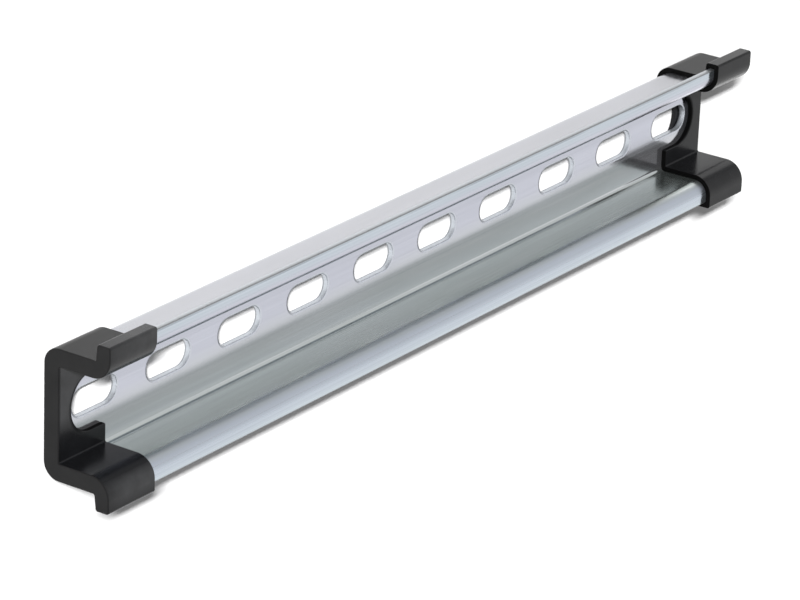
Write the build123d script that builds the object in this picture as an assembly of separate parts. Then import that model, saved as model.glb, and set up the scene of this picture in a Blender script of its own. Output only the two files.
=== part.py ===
from build123d import *
import os

os.makedirs("parts", exist_ok=True)

# Slotted top-hat mounting rail in zinc-plated steel, with a push-on plastic cap over each end.
# X runs along the rail and is 0 at mid-length, Y runs across it and is 0 on its centre line.
# Z points out of the open side of the channel and is 0 at the back faces of the two caps.

# Steel section. Each flange reaches out past its leg, and the bend radii are inside ones.
rail_length = 250.0
rail_width = 35.0
rail_depth = 15.0
flange_reach = 3.75
sheet = 1.5
web_bend_radius = 1.2
flange_bend_radius = 2.0
sheet_edge_radius = 0.3

# Slots along the middle of the web
slot_length = 15.0
slot_width = 6.5
slot_pitch = 25.0
slot_count = int(rail_length / slot_pitch)

# Plastic end caps
cap_wall = 1.2
cap_end_wall = 0.8
cap_reach = 14.8
cap_clearance = 0.1
cap_edge_radius = 0.6
cap_end_radius = 0.3
cap_corner_radius = 0.4
cap_rim_radius = 0.25

# The cap's wall behind a flange thins from the root to the tip, so that it leaves the mould
flange_root_wall = 1.0
flange_tip_wall = 0.6

# Round-ended notches in a cap's two web walls, which leave room for a screw in the last slot.
# Each setback is the distance from the rail's end to the notch's closed end.
notch_radius = 6.6
front_notch_setback = 3.4
back_notch_setback = 6.6
notch_mouth_radius = 0.6

# Width over the two legs
hat_width = rail_width - 2 * flange_reach

# A cap's outside stands off the steel by this much, and by less behind the flanges
cap_skin = cap_wall + cap_clearance
root_skin = flange_root_wall + cap_clearance
tip_skin = flange_tip_wall + cap_clearance
web_back_z = cap_skin
cap_front_z = web_back_z + sheet + cap_skin
end_x = rail_length / 2
run_past = 1.0


def hat_section(skin, root_skin, tip_skin, web_corner_radius, root_radius, tip_radius):
    """Closed outline on the YZ plane that stands off the steel's hat section by a skin."""
    leg_outside = hat_width / 2 + skin
    leg_inside = hat_width / 2 - sheet - skin
    tip = rail_width / 2 + skin
    back = web_back_z - skin
    web_front = web_back_z + sheet + skin
    flange_back = web_back_z + rail_depth - sheet
    root_z = flange_back - root_skin
    tip_z = flange_back - tip_skin
    front = web_back_z + rail_depth + skin
    web_bend = web_bend_radius + sheet + skin
    flange_bend = flange_bend_radius + sheet + skin
    half = [
        (leg_outside, back),
        (leg_outside, root_z),
        (tip, tip_z),
        (tip, front),
        (leg_inside, front),
        (leg_inside, web_front),
    ]
    other_half = [(-y, z) for y, z in reversed(half)]
    outline = Polyline(*half, *other_half, close=True)
    section = make_face(outline)
    corner_radii = [
        (leg_outside, back, web_bend),
        (leg_inside, web_front, web_corner_radius),
        (leg_inside, front, flange_bend),
        (leg_outside, root_z, root_radius),
        (tip, tip_z, tip_radius),
        (tip, front, tip_radius),
    ]
    for y, z, radius in corner_radii:
        corners = [v for v in section.vertices() if abs(abs(v.X) - y) < 1e-6 and abs(v.Y - z) < 1e-6]
        section = fillet(corners, radius)
    return Plane.YZ * section


# Rail
rail_section = hat_section(0, 0, 0, web_bend_radius, flange_bend_radius, sheet_edge_radius)
rail = extrude(rail_section, amount=rail_length / 2, both=True)
slot = extrude(SlotOverall(slot_length, slot_width), amount=sheet + 2 * run_past)
slot_row = GridLocations(slot_pitch, 0, slot_count, 1)
for place in slot_row.locations:
    rail = rail - Pos(0, 0, web_back_z - run_past) * place * slot

# Cap on the +X end, then the same moulding turned half a turn about Z on the other end
mouth_x = end_x - cap_reach
outside_section = hat_section(
    cap_skin, root_skin, tip_skin, cap_corner_radius, cap_corner_radius, cap_edge_radius
)
cap_outside = Pos(mouth_x, 0, 0) * extrude(outside_section, amount=cap_reach + cap_end_wall)
closed_end = cap_outside.faces().sort_by(Axis.X)[-1]
cap_outside = fillet(closed_end.edges(), cap_end_radius)
hollow_x = mouth_x - run_past
hollow_section = hat_section(
    cap_clearance,
    cap_clearance,
    cap_clearance,
    web_bend_radius - cap_clearance,
    flange_bend_radius - cap_clearance,
    sheet_edge_radius,
)
hollow = Pos(hollow_x, 0, 0) * extrude(hollow_section, amount=end_x - hollow_x)
cap = cap_outside - hollow


def web_notch(setback, bottom_z, height):
    """Round-ended cutter for one web wall of the +X cap, open towards the middle of the rail."""
    centre_x = end_x - setback - notch_radius
    run = centre_x - hollow_x
    round_end = Pos(centre_x, 0, 0) * Circle(notch_radius)
    straight = Pos(hollow_x + run / 2, 0, 0) * Rectangle(run, 2 * notch_radius)
    return Pos(0, 0, bottom_z) * extrude(round_end + straight, amount=height)


sheet_middle_z = web_back_z + sheet / 2
back_notch = web_notch(back_notch_setback, -run_past, sheet_middle_z + run_past)
front_notch = web_notch(front_notch_setback, sheet_middle_z, cap_skin + sheet / 2 + run_past)
end_cap_right = cap - back_notch - front_notch
upright_edges = end_cap_right.edges().filter_by(Axis.Z).filter_by_position(Axis.X, mouth_x, mouth_x)
mouth_corners = upright_edges.filter_by_position(Axis.Y, -notch_radius, notch_radius)
end_cap_right = fillet(mouth_corners, notch_mouth_radius)

# Rims of the mouth and of both notches
rims = end_cap_right.edges().filter_by_position(Axis.X, mouth_x, mouth_x)
near_notches = end_cap_right.edges().filter_by_position(Axis.Y, -notch_radius, notch_radius)
near_notches = near_notches.filter_by_position(Axis.X, mouth_x, end_x - front_notch_setback)
for face_z in (0, cap_front_z):
    rims = rims + near_notches.filter_by_position(Axis.Z, face_z, face_z)
end_cap_right = fillet(rims, cap_rim_radius)
end_cap_left = Rot(0, 0, 180) * end_cap_right

nodes = {"rail": rail, "end_cap_left": end_cap_left, "end_cap_right": end_cap_right}
for name, shape in nodes.items():
    export_step(shape.solids()[0], f"parts/{name}.step")
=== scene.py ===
import math

import bmesh
import bpy
from mathutils import Matrix, Vector


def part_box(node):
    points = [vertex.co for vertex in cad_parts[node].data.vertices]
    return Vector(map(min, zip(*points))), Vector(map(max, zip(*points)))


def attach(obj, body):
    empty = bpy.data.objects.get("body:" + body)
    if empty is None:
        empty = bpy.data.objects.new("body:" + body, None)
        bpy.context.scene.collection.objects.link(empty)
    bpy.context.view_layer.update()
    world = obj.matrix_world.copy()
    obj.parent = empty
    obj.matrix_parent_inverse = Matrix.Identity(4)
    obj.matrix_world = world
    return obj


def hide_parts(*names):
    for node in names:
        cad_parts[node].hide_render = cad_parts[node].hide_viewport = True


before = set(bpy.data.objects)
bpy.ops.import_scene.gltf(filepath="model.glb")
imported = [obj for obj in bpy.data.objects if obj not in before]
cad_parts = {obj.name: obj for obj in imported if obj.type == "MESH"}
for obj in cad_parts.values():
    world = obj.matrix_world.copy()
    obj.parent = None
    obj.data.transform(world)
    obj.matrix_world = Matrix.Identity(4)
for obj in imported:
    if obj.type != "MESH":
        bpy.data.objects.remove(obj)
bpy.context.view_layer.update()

MM = 0.001

# Camera, worked out from the photo's straight edges: a long lens about a metre away. Sensor and
# lens are in millimetres, and the view's end, past the floor's corners, is in metres.
CAMERA_PLACE = Vector((-767.8, 364.9, 535.1)) * MM
CAMERA_LOOK = Vector((0.7613, -0.3751, -0.5288))
CAMERA_UP = Vector((0.2859, 0.9262, -0.2458))
SENSOR_WIDTH = 36.0
FOCAL_LENGTH = 196.56
VIEW_END = 20.0

# Steel section in millimetres. Its length, width, depth and height come from the rail's box in
# model.glb.
FLANGE_REACH = 3.75
SHEET = 1.5
WEB_BEND_RADIUS = 1.2
FLANGE_BEND_RADIUS = 2.0
TIP_RADIUS = 0.3
BEND_STEPS = 16
TIP_STEPS = 4

# Slots, punched from the channel side. That rolls their front edge over, inside a flat ring,
# and leaves the back edge sharper.
SLOT_LENGTH = 15.0
SLOT_WIDTH = 6.5
SLOT_PITCH = 25.0
PUNCH_SIDE_RADIUS = 0.2
RIM_RING = 0.3
DIE_SIDE_RADIUS = 0.08
ROLL_STEPS = 5

# Each slot lies in a cell of the web, ringed by quads: 16 to each long side and 8 to each end
SIDE_QUADS = 16
END_QUADS = 8

# Points of the mesh that are nearer to each other than this many millimetres become one
WELD = 0.001

# Finishes of the steel, in the order of the rail's material slots
CHANNEL_SIDE, OUTSIDE, CUT_EDGE, PUNCHED, RIM = range(5)

# Half of the width across the strip that its ramps of colour span, and how unevenly a ramp for the
# cast with its painted highlights, for the marks with their painted reflection lines, or for the
# roughness follows the strip, in millimetres
RAMP_HALF = 20.0
CAST_AND_LIGHT_WOBBLE = 0.3
MARK_AND_REFLECTION_WOBBLE = 0.05
ROUGHNESS_WOBBLE = 0.2

# Cast of the zinc, by distance from the centre line in millimetres. Besides the zinc's own tint it
# holds painted highlights: the light band from -11.55 to -4.5, lightest at -11.15, along the web's
# lower bend, and the light stop at -12.45, where the lower leg turns into its flange.
CHANNEL_CAST_AND_PAINTED_LIGHT = (
    (-17.5, (0.616, 0.690, 0.740)),
    (-16.8, (0.590, 0.655, 0.705)),
    (-16.0, (0.550, 0.605, 0.670)),
    (-13.4, (0.537, 0.584, 0.660)),
    (-12.9, (0.570, 0.620, 0.660)),
    (-12.45, (0.700, 0.740, 0.740)),
    (-12.27, (0.440, 0.495, 0.473)),
    (-12.15, (0.445, 0.500, 0.478)),
    (-12.0, (0.580, 0.620, 0.610)),
    (-11.55, (0.550, 0.585, 0.595)),
    (-11.15, (0.850, 0.855, 0.890)),
    (-10.3, (0.775, 0.785, 0.835)),
    (-7.0, (0.700, 0.700, 0.735)),
    (-4.5, (0.581, 0.596, 0.629)),
    (-1.0, (0.555, 0.568, 0.640)),
    (5.0, (0.555, 0.568, 0.640)),
    (7.5, (0.502, 0.518, 0.586)),
    (12.0, (0.497, 0.518, 0.586)),
    (14.5, (0.560, 0.568, 0.645)),
    (16.0, (0.540, 0.592, 0.650)),
    (17.5, (0.535, 0.590, 0.650)),
)
OUTSIDE_CAST = ((0.0, (0.470, 0.474, 0.502)),)

# Roughness across the strip: the bends are duller than the flats
CHANNEL_ROUGHNESS = (
    (-17.5, 0.11),
    (-15.6, 0.15),
    (-14.8, 0.27),
    (-13.6, 0.36),
    (-12.5, 0.36),
    (-12.1, 0.15),
    (-10.8, 0.12),
    (12.0, 0.16),
    (13.2, 0.24),
    (15.2, 0.2),
    (15.8, 0.14),
    (17.5, 0.11),
)
OUTSIDE_ROUGHNESS = ((0.0, 0.2),)

# Thin lines along the strip: marks that bending and rolling left, and painted highlights and
# reflections of the bends and edges, such as the light line at -11.05 where the web turns into its
# lower bend. For each: where, half width, and the tone that it multiplies by
CHANNEL_MARKS_AND_REFLECTIONS = (
    (-17.05, 0.12, 0.84),
    (-16.75, 0.10, 1.05),
    (-16.35, 0.10, 0.93),
    (-15.85, 0.14, 0.90),
    (-11.05, 0.12, 1.08),
    (15.35, 0.10, 0.86),
    (17.00, 0.22, 0.60),
)

# Metallic value of each finish
ZINC_METAL = 0.94
SHEARED_METAL = 0.9
PUNCHED_METAL = 0.8
RIM_METAL = 0.9

# Cast of a sheared edge and of a slot's wall, and where each darkens towards its burr or its torn
# back edge: two heights above the caps' backs in millimetres, and the tone at the second
SHEARED_CAST = (0.515, 0.54, 0.565)
PUNCHED_CAST = (0.53, 0.56, 0.60)
FLANGE_BURR = (15.4, 16.15, 0.6)
SLOT_BURR = (1.75, 1.5, 0.5)

# A slot's rim: painted shade at its -X end and its plain tone elsewhere, and where along the slot's
# pitch the one gives way to the other
RIM_SHADE = (0.17, 0.175, 0.195)
RIM_PLAIN = (0.60, 0.625, 0.68)
SHADE_FULL = 0.20
SHADE_GONE = 0.30

# Noises: waves to the metre along X, Y and Z, detail, and roughness
STRIP_WAVES = ((14, 90, 90), 2.0, 0.5)
CLOUDS = ((25, 160, 160), 3.0, 0.55)
BANDS = ((11, 1300, 1300), 3.0, 0.65)
LINES = ((6, 2600, 2600), 4.0, 0.6)
MARK_AND_REFLECTION_GAPS = ((45, 400, 400), 2.0, 0.5)
SCORES = ((2200, 2200, 260), 3.0, 0.6)
PATCHES = ((600, 600, 600), 2.0, 0.5)
PLASTIC_GRAIN = ((6000, 6000, 6000), 2.0, 0.5)
PLASTIC_CLOUDS = ((180, 180, 180), 3.0, 0.6)

# The values that a noise mostly keeps between, those between which the marks and their painted
# reflection lines come in, and those across which the rim's painted shade changes in strength
NOISE_VALUES = (0.3, 0.7)
MARK_AND_REFLECTION_VALUES = (0.35, 0.6)
PATCH_VALUES = (0.3, 0.6)

# What a noise gives as it goes from low to high. Tones, the lines' dullness and the patches of the
# rim's painted shade multiply, and roughness is used as it is.
CLOUD_TONES = (0.97, 1.03)
BAND_TONES = (0.98, 1.02)
LINE_TONES = (0.965, 1.03)
LINE_DULLNESS = (0.8, 1.25)
SCORE_TONES = (0.9, 1.06)
SCORE_ROUGHNESS = (0.26, 0.38)
RIM_SHADE_PATCHES = (0.7, 1.0)
RIM_ROUGHNESS = (0.2, 0.34)
PLASTIC_TONES = (0.75, 1.25)
PLASTIC_ROUGHNESS = (0.19, 0.27)

# Bumps: strength, and height in metres
LINE_BUMP = (0.12, 0.00002)
SCORE_BUMP = (0.2, 0.00003)
GRAIN_BUMP = (0.12, 0.00002)

# Black plastic: plain, with painted sheen on the near cap's web wall, duller and darker on the
# closed ends and legs (partly a rougher finish, partly painted shade), and matt at the mouths and
# notches in a near black that paints their shade
PLASTIC_BLACK = (0.0058, 0.0061, 0.0070)
WEB_SHEEN = (0.0300, 0.0305, 0.0320)
SHADED_DULL_BLACK = (0.005, 0.005, 0.0052)
MATT_SHADE_BLACK = (0.001, 0.001, 0.001)
DULL_ROUGHNESS = 0.34
MATT_ROUGHNESS = 0.95
PLASTIC_SPECULAR = 0.185

# Painted sheen on the fronts, lightest on the near cap towards its mouth: its tone at places from 0
# to 1 between two values of X in millimetres
FRONT_SHEEN = (
    (0.0, (0.0120, 0.0122, 0.0130)),
    (0.03, (0.0310, 0.0315, 0.0330)),
    (0.06, (0.0310, 0.0315, 0.0330)),
    (0.5, (0.0110, 0.0112, 0.0120)),
)
FRONT_SHEEN_X = (-126.0, 126.0)

# Distances in millimetres of each cap's mouth and its front notch's centre from the rail's middle,
# and the notch's radius
MOUTH_X = 110.2
NOTCH_X = 115.0
NOTCH_RADIUS = 6.6

# Zones of the caps in millimetres, each from where it starts to count to where it counts in
# full. Distances along and across are from the middle, and heights are above the caps' backs.
MOUTH_ALONG = (MOUTH_X + 0.3, MOUTH_X + 0.15)
NOTCH_WALL = (NOTCH_RADIUS + 0.08, NOTCH_RADIUS + 0.02)
NOTCH_SHADE = (NOTCH_RADIUS + 1.1, NOTCH_RADIUS)
PAST_NOTCH_CENTRE = (2.0, 5.0)
FRONT_NOTCH_HEIGHT = (1.8, 2.0)
FRONT_HEIGHT = (15.8, 17.2)
ABOVE_LOWER_EDGE = (-18.8, -15.9)
UPPER_EDGE = (18.2, 18.6)
WEB_WALL_FROM = (3.9, 4.0)
WEB_WALL_TO = (4.6, 4.3)
NEAR_HALF = (0.0, -100.0)
SHORT_OF_END = (125.4, 125.1)
UPPER_HALF = (-5.0, -1.0)
END_FACE = (125.4, 125.7)
LEG_ACROSS = (14.3, 14.7)
BEHIND_FLANGE = (13.5, 13.2)

# Light, in metres and watts. The key lamp is a strip softbox, parallel to the rail and behind the
# camera, a little further round towards +Y, so that in the picture shadows fall just below what
# casts them.
KEY_DIRECTION = Vector((-1.43, 0.828, 1.0))
KEY_DISTANCE = 6.0
KEY_LENGTH = 1.2
KEY_WIDTH = 0.22
KEY_POWER = 1060.0
SKY_LIGHT = 0.14
WHITE = 1.0

# What gloss mirrors of the studio: degrees round X, from the +Y horizon over the top, and light
STUDIO = ((0, 0.45), (15, 0.57), (30, 0.72), (45, 0.77), (84, 0.78), (100, 1.0), (180, 1.0))
HALF_TURN = 180

# The floor. Its size is in metres, and so are the two values of X between which its glow rises
# past the rail's far end, where the key lamp is weaker.
FLOOR_SIZE = 12.0
FLOOR_WHITE = 0.9
FLOOR_GLOW = 0.06
FAR_GLOW = 0.5
FAR_FLOOR = (0.14, 0.20)


def make_camera():
    """The photograph's viewpoint, with no shift and no depth of field."""
    data = bpy.data.cameras.new("camera")
    data.sensor_width = SENSOR_WIDTH
    data.lens = FOCAL_LENGTH
    data.clip_end = VIEW_END
    camera = bpy.data.objects.new("camera", data)
    back = -CAMERA_LOOK.normalized()
    right = CAMERA_UP.cross(back).normalized()
    up = back.cross(right)
    turn = Matrix((right, up, back)).transposed().to_4x4()
    camera.matrix_world = Matrix.Translation(CAMERA_PLACE) @ turn
    bpy.context.collection.objects.link(camera)
    bpy.context.scene.camera = camera


def arc(centre_y, centre_z, radius, start, end, steps):
    """Points along an arc on the YZ plane, its angles in degrees from +Y towards +Z."""
    points = []
    for step in range(steps + 1):
        angle = math.radians(start + (end - start) * step / steps)
        points.append((centre_y + radius * math.cos(angle), centre_z + radius * math.sin(angle)))
    return points


def half_section(width, back_z, front_z):
    """From the web's front face at its bend, round the flange's tip, to the web's back face."""
    tip = width / 2
    web_centre_y = tip - FLANGE_REACH - SHEET - WEB_BEND_RADIUS
    web_centre_z = back_z + SHEET + WEB_BEND_RADIUS
    flange_centre_y = tip - FLANGE_REACH + FLANGE_BEND_RADIUS
    flange_centre_z = front_z - SHEET - FLANGE_BEND_RADIUS
    tip_y = tip - TIP_RADIUS
    front_tip_z = front_z - TIP_RADIUS
    back_tip_z = front_z - SHEET + TIP_RADIUS
    points = arc(web_centre_y, web_centre_z, WEB_BEND_RADIUS, -90, 0, BEND_STEPS)
    points += arc(flange_centre_y, flange_centre_z, FLANGE_BEND_RADIUS + SHEET, 180, 90, BEND_STEPS)
    points += arc(tip_y, front_tip_z, TIP_RADIUS, 90, 0, TIP_STEPS)
    points += arc(tip_y, back_tip_z, TIP_RADIUS, 0, -90, TIP_STEPS)
    points += arc(flange_centre_y, flange_centre_z, FLANGE_BEND_RADIUS, 90, 180, BEND_STEPS)
    points += arc(web_centre_y, web_centre_z, WEB_BEND_RADIUS + SHEET, 0, -90, BEND_STEPS)
    return points


def stadium(centre_x, grow):
    """Points round a slot's outline, grown by an amount, anticlockwise from its lower right."""
    radius = SLOT_WIDTH / 2 + grow
    straight = (SLOT_LENGTH - SLOT_WIDTH) / 2
    points = []
    for side in (1, -1):
        for step in range(SIDE_QUADS):
            angle = math.pi * (step / SIDE_QUADS - 0.5)
            x = straight + radius * math.cos(angle)
            points.append((centre_x + side * x, side * radius * math.sin(angle)))
        for step in range(SIDE_QUADS // 2):
            x = straight * (1 - 4 * step / SIDE_QUADS)
            points.append((centre_x + side * x, side * radius))
    return points


def cell_rim(centre_x, half_width):
    """Points round a slot's cell of the web, one for each point of its outline."""
    half_length = SLOT_PITCH / 2
    quarter = SIDE_QUADS // 4
    points = []
    for side in (1, -1):
        for step in range(quarter):
            x = half_length * (0.5 + 0.5 * step / quarter)
            points.append((centre_x + side * x, -side * half_width))
        for step in range(END_QUADS):
            y = half_width * (2 * step / END_QUADS - 1)
            points.append((centre_x + side * half_length, side * y))
        for step in range(3 * quarter):
            x = half_length * (1 - 0.5 * step / quarter)
            points.append((centre_x + side * x, side * half_width))
    return points


def slot_levels(back_z, front_z):
    """How far out and how high each ring of a slot lies, from the web's front face to its back."""
    levels = [(PUNCH_SIDE_RADIUS + RIM_RING, front_z)]
    for step in range(ROLL_STEPS + 1):
        angle = math.radians(90 * step / ROLL_STEPS)
        out = PUNCH_SIDE_RADIUS * (1 - math.sin(angle))
        levels.append((out, front_z - PUNCH_SIDE_RADIUS * (1 - math.cos(angle))))
    for step in range(ROLL_STEPS + 1):
        angle = math.radians(90 * step / ROLL_STEPS)
        out = DIE_SIDE_RADIUS * (1 - math.cos(angle))
        levels.append((out, back_z + DIE_SIDE_RADIUS * (1 - math.sin(angle))))
    return levels


def row(mesh, points):
    """New vertices at points given in millimetres."""
    return [mesh.verts.new(Vector(point) * MM) for point in points]


def bridge(mesh, ring, next_ring, closed, finish=CUT_EDGE):
    """Quads between two rows of vertices of the same length, in one finish."""
    count = len(ring)
    last = count if closed else count - 1
    faces = []
    for place in range(last):
        after = (place + 1) % count
        face = mesh.faces.new((ring[place], ring[after], next_ring[after], next_ring[place]))
        face.material_index = finish
        faces.append(face)
    return faces


def strip_finish(place):
    """Finish of the side's quad at a place along the half section."""
    tip_start = 2 * (BEND_STEPS + 1)
    tip_end = tip_start + 2 * TIP_STEPS + 1
    if place < tip_start:
        return CHANNEL_SIDE
    return CUT_EDGE if place < tip_end else OUTSIDE


def add_side(mesh, side, stations, half):
    """Bend, leg and flange on one side of the web, swept through the stations along X."""
    previous = None
    for x in stations:
        section = row(mesh, [(x, side * y, z) for y, z in half])
        if previous:
            for place, face in enumerate(bridge(mesh, previous, section, False)):
                face.material_index = strip_finish(place)
        else:
            mesh.faces.new(section).material_index = CUT_EDGE
        previous = section
    mesh.faces.new(previous).material_index = CUT_EDGE


def add_slot(mesh, centre_x, half_width, back_z, front_z):
    """One slot and the cell of the web round it, front and back."""
    rim = cell_rim(centre_x, half_width)
    rings = [row(mesh, [(x, y, front_z) for x, y in rim])]
    for out, z in slot_levels(back_z, front_z):
        rings.append(row(mesh, [(x, y, z) for x, y in stadium(centre_x, out)]))
    rings.append(row(mesh, [(x, y, back_z) for x, y in rim]))
    steps = ROLL_STEPS + 1
    finishes = [CHANNEL_SIDE] + [RIM] * steps + [PUNCHED] * steps + [OUTSIDE]
    for ring, next_ring, finish in zip(rings, rings[1:], finishes):
        bridge(mesh, ring, next_ring, True, finish)


def add_web_end(mesh, x, half_width, back_z, front_z):
    """The cut end of the web."""
    edge = [half_width * (2 * step / END_QUADS - 1) for step in range(END_QUADS + 1)]
    front_edge = row(mesh, [(x, y, front_z) for y in edge])
    back_edge = row(mesh, [(x, y, back_z) for y in edge])
    bridge(mesh, front_edge, back_edge, False)


def make_rail():
    """The formed and punched steel, with rolled bends, rounded cut edges and rolled-in slot rims."""
    low, high = (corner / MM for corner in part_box("rail"))
    web_front_z = low.z + SHEET
    slots = round((high.x - low.x) / SLOT_PITCH)
    quads = slots * SIDE_QUADS
    stations = [low.x + (high.x - low.x) * step / quads for step in range(quads + 1)]
    half = half_section(high.y - low.y, low.z, high.z)
    web_half = half[0][0]

    mesh = bmesh.new()
    for side in (1, -1):
        add_side(mesh, side, stations, half)
    for slot in range(slots):
        add_slot(mesh, low.x + SLOT_PITCH * (slot + 0.5), web_half, low.z, web_front_z)
    for x in (low.x, high.x):
        add_web_end(mesh, x, web_half, low.z, web_front_z)
    bmesh.ops.remove_doubles(mesh, verts=mesh.verts, dist=WELD * MM)
    bmesh.ops.recalc_face_normals(mesh, faces=mesh.faces)
    for face in mesh.faces:
        face.smooth = True

    data = bpy.data.meshes.new("formed_rail")
    mesh.to_mesh(data)
    mesh.free()
    rail = bpy.data.objects.new("formed_rail", data)
    bpy.context.collection.objects.link(rail)
    rail.modifiers.new("flat_faces_stay_flat", "WEIGHTED_NORMAL")
    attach(rail, "root")
    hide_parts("rail")
    return rail


def new_material(name):
    """A material with only a Principled shader, returned with its node tree and shader."""
    material = bpy.data.materials.new(name)
    material.use_nodes = True
    tree = material.node_tree
    return material, tree, tree.nodes["Principled BSDF"]


def grey(level):
    """A colour with one level for red, green and blue."""
    return (level, level, level)


def position(tree, kind="Object"):
    """X, Y and Z sockets of a texture coordinate, which on an object are in metres."""
    place = tree.nodes.new("ShaderNodeTexCoord")
    split = tree.nodes.new("ShaderNodeSeparateXYZ")
    tree.links.new(place.outputs[kind], split.inputs["Vector"])
    return [split.outputs[axis] for axis in "XYZ"]


def noise(tree, waves, detail, roughness):
    """Socket of a noise on object coordinates, with its own waves to the metre along each axis."""
    place = tree.nodes.new("ShaderNodeTexCoord")
    mapping = tree.nodes.new("ShaderNodeMapping")
    mapping.inputs["Scale"].default_value = waves
    tree.links.new(place.outputs["Object"], mapping.inputs["Vector"])
    texture = tree.nodes.new("ShaderNodeTexNoise")
    for name, value in (("Scale", 1.0), ("Detail", detail), ("Roughness", roughness)):
        texture.inputs[name].default_value = value
    tree.links.new(mapping.outputs["Vector"], texture.inputs["Vector"])
    return texture.outputs["Fac"]


def maths(tree, operation, first, second=0.0):
    """A maths node's result for two inputs, each a socket or a number."""
    node = tree.nodes.new("ShaderNodeMath")
    node.operation = operation
    for place, value in enumerate((first, second)):
        if isinstance(value, bpy.types.NodeSocket):
            tree.links.new(value, node.inputs[place])
        else:
            node.inputs[place].default_value = value
    return node.outputs[0]


def largest(tree, total, *others):
    """The largest of two or more sockets' values."""
    for other in others:
        total = maths(tree, "MAXIMUM", total, other)
    return total


def spread(tree, source, low, high, to_low=0.0, to_high=1.0):
    """Stretches a socket's values from one range to another, and holds them there."""
    node = tree.nodes.new("ShaderNodeMapRange")
    node.inputs["From Min"].default_value = low
    node.inputs["From Max"].default_value = high
    node.inputs["To Min"].default_value = to_low
    node.inputs["To Max"].default_value = to_high
    tree.links.new(source, node.inputs["Value"])
    return node.outputs["Result"]


def within(tree, *zones):
    """How far a place lies inside all of some zones, each a socket and its range in millimetres."""
    total = None
    for source, (start, full) in zones:
        inside = spread(tree, source, start * MM, full * MM)
        total = inside if total is None else maths(tree, "MULTIPLY", total, inside)
    return total


def mix_colour(tree, factor, first, second, blend="MIX"):
    """Mixes two colours, each a tuple or a socket, by a factor socket or number."""
    node = tree.nodes.new("ShaderNodeMix")
    node.data_type = "RGBA"
    node.blend_type = blend
    for name, value in (("Factor_Float", factor), ("A_Color", first), ("B_Color", second)):
        socket = next(one for one in node.inputs if one.identifier == name)
        if isinstance(value, bpy.types.NodeSocket):
            tree.links.new(value, socket)
        elif isinstance(value, tuple):
            socket.default_value = (*value, 1.0)
        else:
            socket.default_value = value
    return next(one for one in node.outputs if one.identifier == "Result_Color")


def shaded(tree, colour, tone):
    """A colour multiplied by a tone's socket."""
    return mix_colour(tree, 1.0, colour, tone, "MULTIPLY")


def ramp(tree, factor, stops):
    """Colours at places from 0 to 1, in their order, each blended into the next."""
    node = tree.nodes.new("ShaderNodeValToRGB")
    elements = node.color_ramp.elements
    while len(elements) < len(stops):
        elements.new(1.0)
    while len(elements) > len(stops):
        elements.remove(elements[-1])
    for element, (place, colour) in zip(elements, stops):
        element.position = place
        element.color = (*colour, 1.0)
    tree.links.new(factor, node.inputs["Fac"])
    return node.outputs["Color"]


def bump(tree, height, strength, distance):
    """Normal socket of a bump on a height socket."""
    node = tree.nodes.new("ShaderNodeBump")
    node.inputs["Strength"].default_value = strength
    node.inputs["Distance"].default_value = distance
    tree.links.new(height, node.inputs["Height"])
    return node.outputs["Normal"]


def ramp_place(y):
    """Place from 0 to 1 on a ramp across the strip, of a distance from its centre line."""
    return (y + RAMP_HALF) / (2 * RAMP_HALF)


def across_strip(tree, wobble, stops):
    """Colours across the strip, by their places on its ramp, on a slightly uneven course."""
    _, y, _ = position(tree)
    waves = noise(tree, *STRIP_WAVES)
    uneven = spread(tree, waves, 0.0, 1.0, -wobble * MM, wobble * MM)
    total = maths(tree, "ADD", y, uneven)
    return ramp(tree, spread(tree, total, -RAMP_HALF * MM, RAMP_HALF * MM), stops)


def thin_line_stops(marks_and_reflections):
    """Ramp stops of thin lines on a plain ground."""
    stops = [(0.0, grey(1.0))]
    for y, half, tone in marks_and_reflections:
        for place, level in ((y - half, 1.0), (y, tone), (y + half, 1.0)):
            stops.append((ramp_place(place), grey(level)))
    return stops


def make_steel(name, cast_and_painted_light, roughness, marks_and_reflections=()):
    """Bright zinc plate with its cast across the strip, painted highlights at the lower bends,
    rolling lines, small clouds, and thin marks with painted reflection lines.
    """
    material, tree, shader = new_material(name)
    # The cast across the strip, with its painted highlights at the lower bends
    cast_and_light_stops = [(ramp_place(y), colour) for y, colour in cast_and_painted_light]
    colour = across_strip(tree, CAST_AND_LIGHT_WOBBLE, cast_and_light_stops)
    if marks_and_reflections:
        # Thin lines on the cast: marks, and painted highlights and reflections of the bends and
        # edges
        shown = spread(tree, noise(tree, *MARK_AND_REFLECTION_GAPS), *MARK_AND_REFLECTION_VALUES)
        tones = across_strip(tree, MARK_AND_REFLECTION_WOBBLE, thin_line_stops(marks_and_reflections))
        colour = mix_colour(tree, shown, colour, tones, "MULTIPLY")
    clouds, bands, lines = (noise(tree, *pattern) for pattern in (CLOUDS, BANDS, LINES))
    for pattern, tones in ((clouds, CLOUD_TONES), (bands, BAND_TONES), (lines, LINE_TONES)):
        colour = shaded(tree, colour, spread(tree, pattern, *NOISE_VALUES, *tones))
    tree.links.new(colour, shader.inputs["Base Color"])
    shader.inputs["Metallic"].default_value = ZINC_METAL

    roughness_stops = [(ramp_place(y), grey(level)) for y, level in roughness]
    dull = across_strip(tree, ROUGHNESS_WOBBLE, roughness_stops)
    dull = shaded(tree, dull, spread(tree, lines, *NOISE_VALUES, *LINE_DULLNESS))
    tree.links.new(dull, shader.inputs["Roughness"])
    tree.links.new(bump(tree, lines, *LINE_BUMP), shader.inputs["Normal"])
    return material


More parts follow.
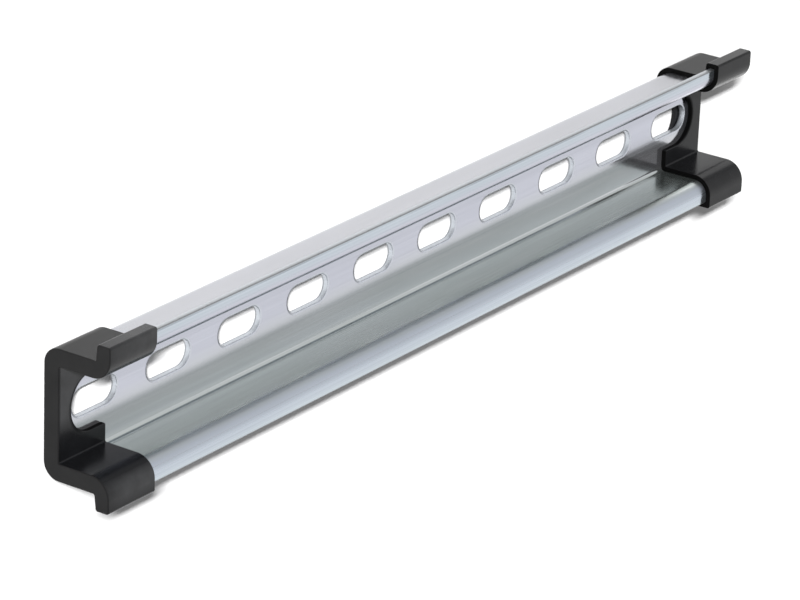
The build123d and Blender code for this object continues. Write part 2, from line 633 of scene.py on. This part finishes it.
def make_cut_steel(name, cast_and_painted_light, burr, metal):
    """Cut edges: rougher than the faces, scored along the tool's stroke, darker at the burr."""
    material, tree, shader = new_material(name)
    _, _, z = position(tree)
    start, end, burr_tone = burr
    scores = noise(tree, *SCORES)
    colour = shaded(tree, cast_and_painted_light, spread(tree, scores, *NOISE_VALUES, *SCORE_TONES))
    colour = shaded(tree, colour, spread(tree, z, start * MM, end * MM, 1.0, burr_tone))
    roughness = spread(tree, scores, *NOISE_VALUES, *SCORE_ROUGHNESS)
    tree.links.new(colour, shader.inputs["Base Color"])
    shader.inputs["Metallic"].default_value = metal
    tree.links.new(roughness, shader.inputs["Roughness"])
    tree.links.new(bump(tree, scores, *SCORE_BUMP), shader.inputs["Normal"])
    return material


def make_rim():
    """The rim of a slot, with painted shade at its -X end."""
    material, tree, shader = new_material("slot_rim")
    x, _, _ = position(tree)
    # Painted shade at the -X end of each slot's rim, uneven in patches
    in_pitch = maths(tree, "FRACT", maths(tree, "DIVIDE", x, SLOT_PITCH * MM))
    end_shade = spread(tree, in_pitch, SHADE_FULL, SHADE_GONE, 1.0, 0.0)
    patches = noise(tree, *PATCHES)
    dark = maths(tree, "MULTIPLY", end_shade, spread(tree, patches, *PATCH_VALUES, *RIM_SHADE_PATCHES))
    roughness = spread(tree, patches, *NOISE_VALUES, *RIM_ROUGHNESS)
    tree.links.new(mix_colour(tree, dark, RIM_PLAIN, RIM_SHADE), shader.inputs["Base Color"])
    shader.inputs["Metallic"].default_value = RIM_METAL
    tree.links.new(roughness, shader.inputs["Roughness"])
    return material


def cap_masks(tree):
    """Sockets that are 1 on a cap's matt parts with painted shade, on its fronts and near web wall
    with painted sheen, and on its dull outsides with painted shade, and X.
    """
    x, y, z = position(tree)
    along = maths(tree, "ABSOLUTE", x)
    across = maths(tree, "ABSOLUTE", y)
    past_centre = maths(tree, "MAXIMUM", maths(tree, "SUBTRACT", along, NOTCH_X * MM), 0.0)
    squares = [maths(tree, "MULTIPLY", one, one) for one in (past_centre, y)]
    from_notch = maths(tree, "SQRT", maths(tree, "ADD", *squares))

    # Matt near black that paints shade: at the mouth's rim, on the front notch's wall, and past the
    # notch's centre
    mouth = within(tree, (along, MOUTH_ALONG))
    wall = within(tree, (from_notch, NOTCH_WALL), (z, FRONT_NOTCH_HEIGHT))
    shade = within(
        tree,
        (from_notch, NOTCH_SHADE),
        (past_centre, PAST_NOTCH_CENTRE),
        (z, FRONT_NOTCH_HEIGHT),
    )
    matt_shade = largest(tree, mouth, wall, shade)

    # Where the painted sheen lies: the fronts, fading out towards the lower blocks' lower edge, and
    # the upper blocks' tops
    faces = within(tree, (z, FRONT_HEIGHT), (y, ABOVE_LOWER_EDGE))
    fronts = largest(tree, faces, within(tree, (y, UPPER_EDGE)))

    # Painted sheen on the near cap's web wall, over its upper half
    web = within(
        tree,
        (z, WEB_WALL_FROM),
        (z, WEB_WALL_TO),
        (x, NEAR_HALF),
        (along, SHORT_OF_END),
        (y, UPPER_HALF),
    )

    # Duller and darker on the legs' outsides and the closed ends: a rougher finish, and painted
    # shade in the darker tone
    legs = within(tree, (across, LEG_ACROSS), (z, BEHIND_FLANGE))
    dull = largest(tree, within(tree, (along, END_FACE)), legs)
    return matt_shade, fronts, web, dull, x


def make_plastic():
    """Black moulded plastic with a fine grain, matt with painted shade at its mouth and notch, and
    painted sheen on its fronts.
    """
    material, tree, shader = new_material("black_plastic")
    grain = noise(tree, *PLASTIC_GRAIN)
    clouds = noise(tree, *PLASTIC_CLOUDS)
    matt_shade, fronts, web, dull, x = cap_masks(tree)
    # Painted sheen on the fronts and the upper blocks' tops
    sheen = ramp(tree, within(tree, (x, FRONT_SHEEN_X)), FRONT_SHEEN)
    colour = mix_colour(tree, fronts, PLASTIC_BLACK, sheen)
    # Painted sheen on the near cap's web wall
    colour = mix_colour(tree, web, colour, WEB_SHEEN)
    colour = mix_colour(tree, dull, colour, SHADED_DULL_BLACK)
    colour = shaded(tree, colour, spread(tree, clouds, *NOISE_VALUES, *PLASTIC_TONES))
    # Near black that paints the shade at the mouth and notch
    colour = mix_colour(tree, matt_shade, colour, MATT_SHADE_BLACK)
    roughness = spread(tree, clouds, *NOISE_VALUES, *PLASTIC_ROUGHNESS)
    roughness = mix_colour(tree, dull, roughness, grey(DULL_ROUGHNESS))
    roughness = mix_colour(tree, matt_shade, roughness, grey(MATT_ROUGHNESS))
    tree.links.new(colour, shader.inputs["Base Color"])
    tree.links.new(roughness, shader.inputs["Roughness"])
    shader.inputs["Specular IOR Level"].default_value = PLASTIC_SPECULAR
    tree.links.new(bump(tree, grain, *GRAIN_BUMP), shader.inputs["Normal"])
    return material


def make_floor():
    """White floor that shows as white paper and keeps the object's shadow."""
    bpy.ops.mesh.primitive_plane_add(size=FLOOR_SIZE, location=(0, 0, 0))
    floor = bpy.context.object
    floor.name = "floor"
    material, tree, shader = new_material("white_floor")
    shader.inputs["Base Color"].default_value = (*grey(FLOOR_WHITE), 1.0)
    shader.inputs["Roughness"].default_value = 1.0
    shader.inputs["Specular IOR Level"].default_value = 0.0
    shader.inputs["Emission Color"].default_value = (*grey(WHITE), 1.0)
    path = tree.nodes.new("ShaderNodeLightPath")
    rays = ("Is Camera Ray", "Is Glossy Ray", "Is Transmission Ray")
    seen = largest(tree, *(path.outputs[ray] for ray in rays))
    x, _, _ = position(tree)
    glow = maths(tree, "MULTIPLY", seen, spread(tree, x, *FAR_FLOOR, FLOOR_GLOW, FAR_GLOW))
    tree.links.new(glow, shader.inputs["Emission Strength"])
    floor.data.materials.append(material)


def mirrored_studio(tree):
    """A socket with the studio's light as gloss mirrors it, by direction round the X axis."""
    _, y, z = position(tree, "Generated")
    around = spread(tree, maths(tree, "ARCTAN2", z, y), 0.0, math.pi)
    return ramp(tree, around, [(degrees / HALF_TURN, grey(light)) for degrees, light in STUDIO])


def make_sky():
    """A world that lights softly, mirrors as the studio, and shows as white."""
    world = bpy.data.worlds.new("world")
    world.use_nodes = True
    tree = world.node_tree
    background = tree.nodes["Background"]
    path = tree.nodes.new("ShaderNodeLightPath")
    glossy = path.outputs["Is Glossy Ray"]
    light = mix_colour(tree, glossy, grey(SKY_LIGHT), mirrored_studio(tree))
    for ray in ("Is Camera Ray", "Is Transmission Ray"):
        light = mix_colour(tree, path.outputs[ray], light, grey(WHITE))
    tree.links.new(light, background.inputs["Color"])
    background.inputs["Strength"].default_value = 1.0
    bpy.context.scene.world = world


def make_key():
    """The key lamp, which gloss doesn't mirror."""
    data = bpy.data.lights.new("key", "AREA")
    data.shape = "RECTANGLE"
    data.size = KEY_LENGTH
    data.size_y = KEY_WIDTH
    data.energy = KEY_POWER
    key = bpy.data.objects.new("key", data)
    key.location = KEY_DIRECTION.normalized() * KEY_DISTANCE
    key.rotation_euler = (-math.atan2(KEY_DIRECTION.y, KEY_DIRECTION.z), 0, 0)
    key.visible_glossy = False
    bpy.context.collection.objects.link(key)


make_camera()
plastic = make_plastic()
rail = make_rail()
steel_finishes = (
    make_steel("zinc_channel_side", CHANNEL_CAST_AND_PAINTED_LIGHT, CHANNEL_ROUGHNESS, CHANNEL_MARKS_AND_REFLECTIONS),
    make_steel("zinc_outside", OUTSIDE_CAST, OUTSIDE_ROUGHNESS),
    make_cut_steel("sheared_steel", SHEARED_CAST, FLANGE_BURR, SHEARED_METAL),
    make_cut_steel("punched_steel", PUNCHED_CAST, SLOT_BURR, PUNCHED_METAL),
    make_rim(),
)
for finish in steel_finishes:
    rail.data.materials.append(finish)
for name in ("end_cap_left", "end_cap_right"):
    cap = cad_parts[name]
    cap.data.materials.clear()
    cap.data.materials.append(plastic)
make_floor()
make_sky()
make_key()
bpy.context.scene.view_settings.view_transform = "Standard"
